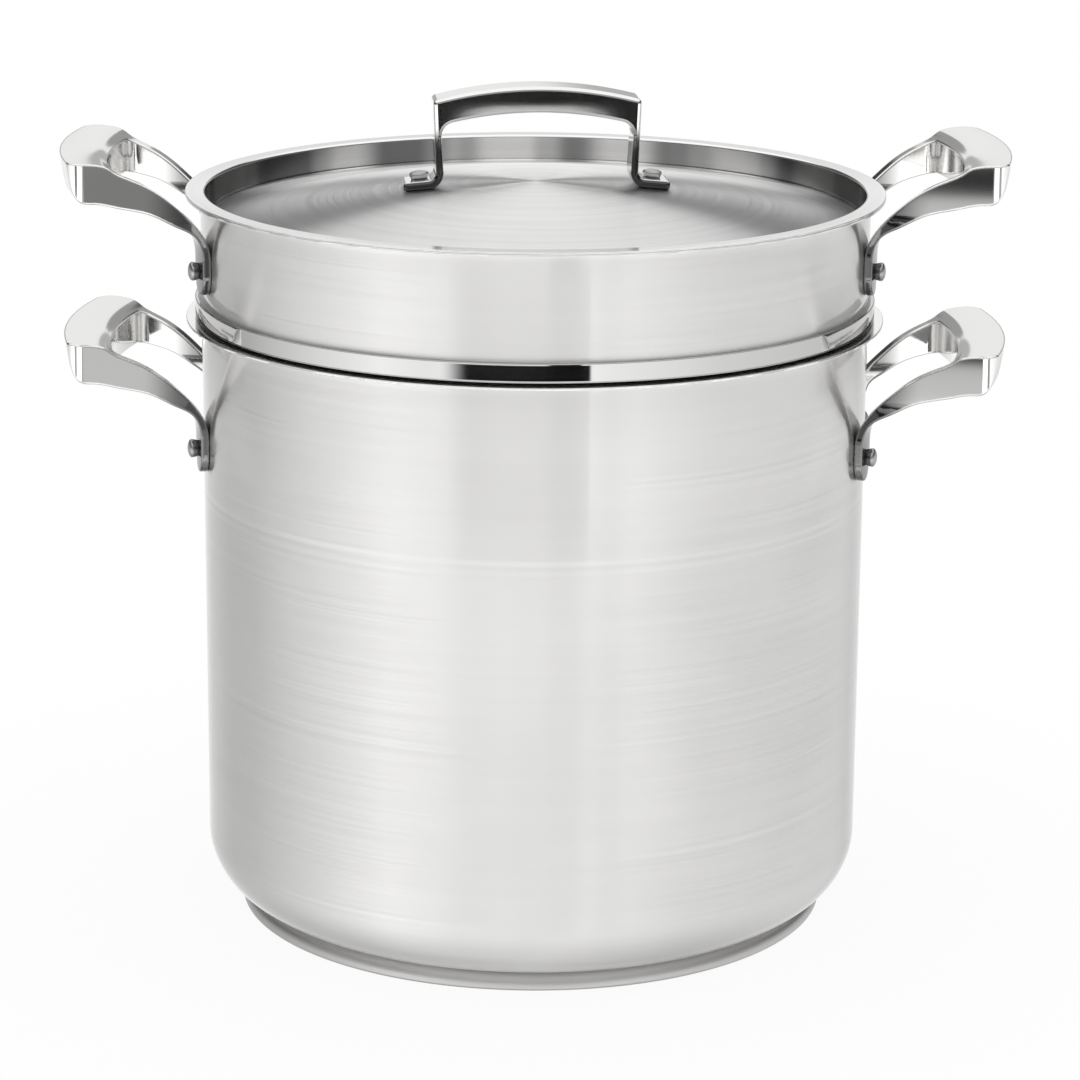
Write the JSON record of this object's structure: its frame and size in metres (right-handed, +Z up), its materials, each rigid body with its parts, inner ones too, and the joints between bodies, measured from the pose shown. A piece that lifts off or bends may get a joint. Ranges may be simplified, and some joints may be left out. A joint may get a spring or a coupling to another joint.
{
  "type": "double boiler",
  "caption": "Tall stainless pot with a hanging insert vessel and a recessed domed lid, each with riveted loop handles, for cooking over simmering water.",
  "frame": {"origin": "centre of the underside of the base, on the surface the pot stands on", "axes": "+Z up along the axis of the vessels, the side handles along +X and -X"},
  "size_m": [0.3944, 0.2928, 0.353],
  "materials": {
    "vessel_steel": "satin stainless steel, fine lines running round the wall",
    "lid_steel": "satin stainless steel with concentric lines, polished flange",
    "ring_steel": "mirror-polished stainless steel",
    "handle_steel": "mirror-polished cast stainless steel",
    "rivet_steel": "polished stainless steel",
    "base_steel": "satin stainless steel, a little darker and duller",
    "core_aluminium": "plain aluminium, hidden between cap and shell"
  },
  "bodies": {
    "pot": {"pot_shell": "vessel_steel", "pot_core_disc": "core_aluminium", "pot_base_cap": "base_steel", "pot_handle_left": "handle_steel", "pot_handle_right": "handle_steel", "pot_handle_left_rivets": "rivet_steel", "pot_handle_right_rivets": "rivet_steel"},
    "insert": {"insert_vessel": "vessel_steel", "insert_collar": "vessel_steel", "insert_seat_ring": "ring_steel", "insert_handle_left": "handle_steel", "insert_handle_right": "handle_steel", "insert_handle_left_rivets": "rivet_steel", "insert_handle_right_rivets": "rivet_steel"},
    "lid": {"lid_shell": "lid_steel", "lid_handle": "handle_steel", "lid_handle_rivets": "rivet_steel"}
  },
  "joints": [
    {"name": "insert_lift", "type": "slide", "parent": "pot", "child": "insert", "axis": [0, 0, 1], "range_m": [0, 0.17]},
    {"name": "lid_lift", "type": "slide", "parent": "insert", "child": "lid", "axis": [0, 0, 1], "range_m": [0, 0.08]}
  ]
}
